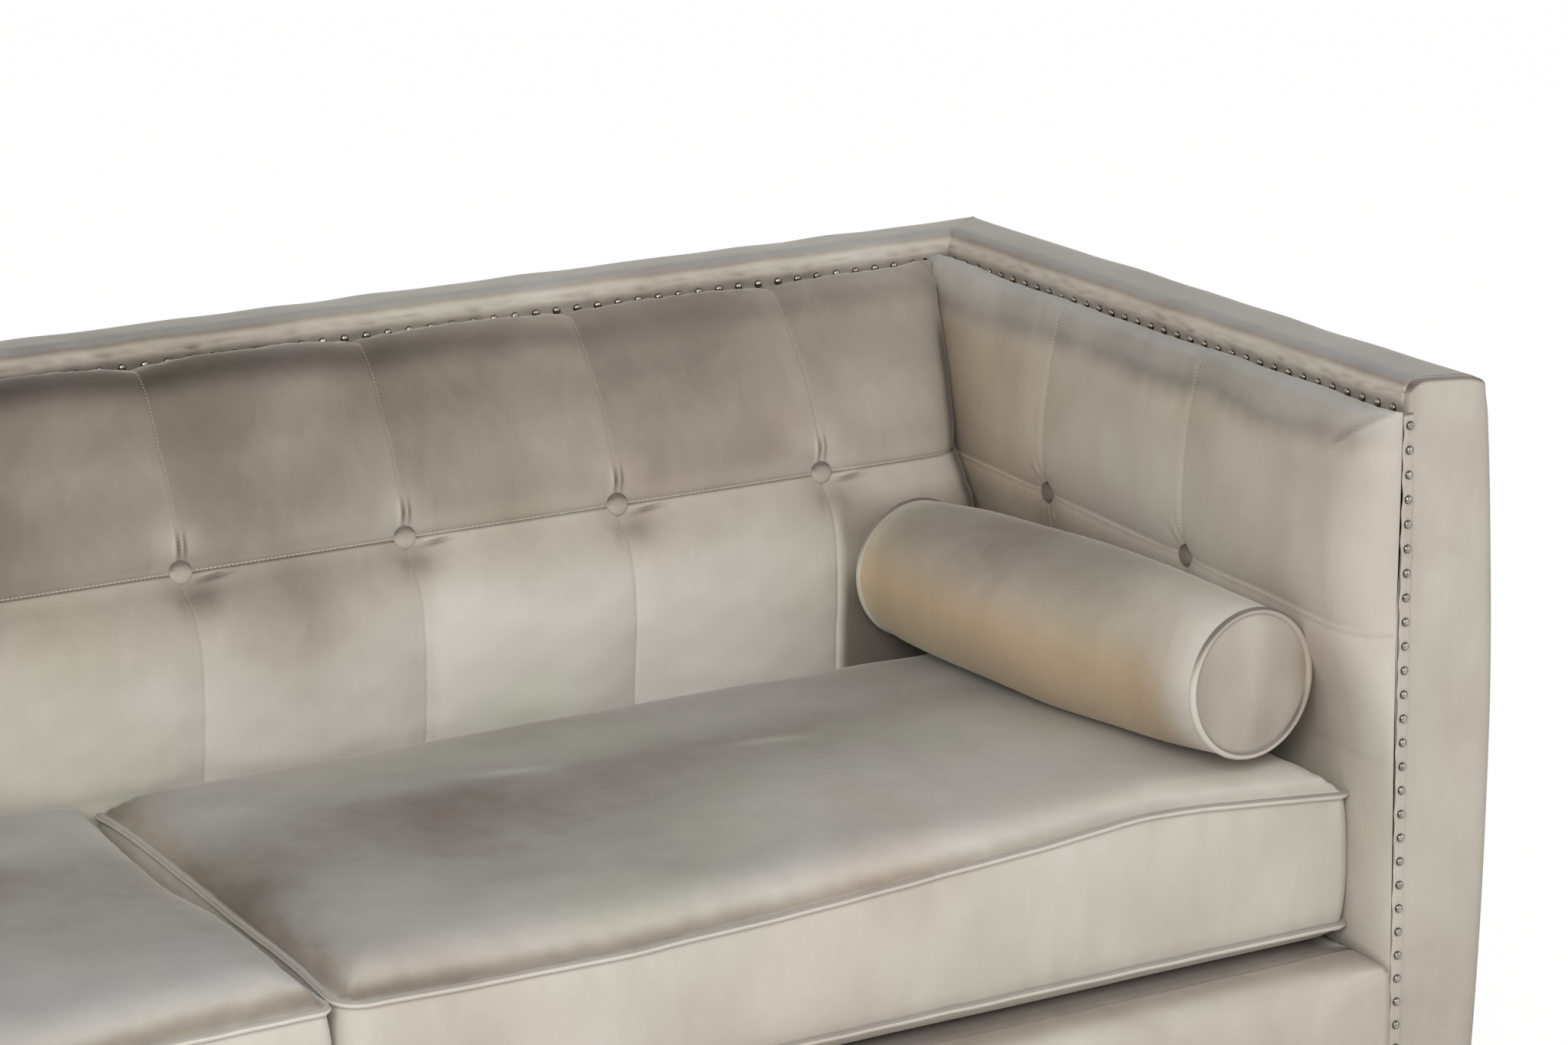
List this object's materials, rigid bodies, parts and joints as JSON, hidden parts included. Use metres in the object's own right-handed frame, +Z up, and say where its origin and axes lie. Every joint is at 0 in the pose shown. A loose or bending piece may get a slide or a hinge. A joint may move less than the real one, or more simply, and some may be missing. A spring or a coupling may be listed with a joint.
{
  "type": "three-seater sofa",
  "caption": "Square-armed sofa with a tufted, buttoned back, nail-trimmed borders, loose piped seat cushions and round bolsters on low turned legs.",
  "frame": {"origin": "on the floor, under the middle of the sofa's box", "axes": "+X along the sofa to the sitter's left, -Y the front, +Z up"},
  "size_m": [2.23, 0.8668, 0.81],
  "materials": {
    "velvet": "short mottled pile",
    "foam": "cut foam",
    "timber": "sawn",
    "leg_wood": "satin lacquer",
    "nail_nickel": "polished",
    "steel": "oiled",
    "webbing": "woven",
    "black_cloth": "matt cloth",
    "glide_plastic": "matt"
  },
  "bodies": {
    "sofa": {"front_seat_rail": "timber", "back_seat_rail": "timber", "side_seat_rail_left": "timber", "side_seat_rail_right": "timber", "seat_cross_braces": "timber", "glue_blocks": "timber", "arm_front_post_left": "timber", "arm_front_post_right": "timber", "arm_back_post_left": "timber", "arm_back_post_right": "timber", "arm_top_rail_left": "timber", "arm_top_rail_right": "timber", "arm_board_left": "timber", "arm_board_right": "timber", "back_top_rail": "timber", "back_lower_rail": "timber", "back_uprights": "timber", "seat_springs": "steel", "spring_clips": "steel", "back_straps": "webbing", "deck_pad": "foam", "deck_cover": "velvet", "front_rail_pad": "velvet", "back_pad": "velvet", "arm_pad_left": "velvet", "arm_pad_right": "velvet", "back_border": "velvet", "arm_border_left": "velvet", "arm_border_right": "velvet", "arm_facing_left": "velvet", "arm_facing_right": "velvet", "outside_back": "velvet", "outside_arm_left": "velvet", "outside_arm_right": "velvet", "back_buttons": "velvet", "arm_buttons": "velvet", "back_nails": "nail_nickel", "arm_nails": "nail_nickel", "dust_cover": "black_cloth", "leg_front_left": "leg_wood", "leg_front_right": "leg_wood", "leg_back_left": "leg_wood", "leg_back_right": "leg_wood", "legs_centre": "leg_wood", "leg_plates": "steel", "leg_bolts": "steel", "leg_glides": "glide_plastic"},
    "seat_left": {"seat_cover_left": "velvet", "seat_filling_left": "foam", "seat_piping_left": "velvet"},
    "bolster_left": {"bolster_cover_left": "velvet", "bolster_filling_left": "foam", "bolster_piping_left": "velvet"},
    "seat_right": {"seat_cover_right": "velvet", "seat_filling_right": "foam", "seat_piping_right": "velvet"},
    "bolster_right": {"bolster_cover_right": "velvet", "bolster_filling_right": "foam", "bolster_piping_right": "velvet"}
  },
  "joints": [
    {"name": "seat_left_slide", "type": "slide", "parent": "sofa", "child": "seat_left", "axis": [0, -1, 0], "range_m": [0, 0.65]},
    {"name": "bolster_left_lift", "type": "slide", "parent": "seat_left", "child": "bolster_left", "axis": [0.7071, 0, 0.7071], "range_m": [0, 0.55]},
    {"name": "seat_right_slide", "type": "slide", "parent": "sofa", "child": "seat_right", "axis": [0, -1, 0], "range_m": [0, 0.65]},
    {"name": "bolster_right_lift", "type": "slide", "parent": "seat_right", "child": "bolster_right", "axis": [-0.7071, 0, 0.7071], "range_m": [0, 0.55]}
  ]
}
